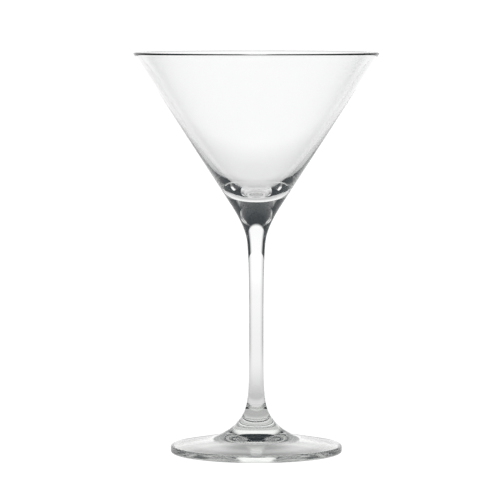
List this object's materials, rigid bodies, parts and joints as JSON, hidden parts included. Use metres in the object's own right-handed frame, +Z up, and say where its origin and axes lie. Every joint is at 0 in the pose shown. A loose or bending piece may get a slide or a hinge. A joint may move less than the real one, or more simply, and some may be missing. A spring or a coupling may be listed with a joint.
{
  "type": "martini glass",
  "caption": "Stemmed cocktail glass with a wide conical bowl, a slim drawn stem and a round flared foot.",
  "frame": {"origin": "centre of the circle that the glass stands on, at table height", "axes": "+Z up along the axis of the stem, from the foot to the rim"},
  "size_m": [0.1162, 0.1162, 0.19],
  "materials": {
    "bowl_glass": "clear, fire-polished",
    "stem_glass": "clear, fire-polished",
    "foot_glass": "clear, fire-polished"
  },
  "bodies": {
    "root": {"bowl": "bowl_glass", "stem": "stem_glass", "foot": "foot_glass"}
  },
  "joints": []
}
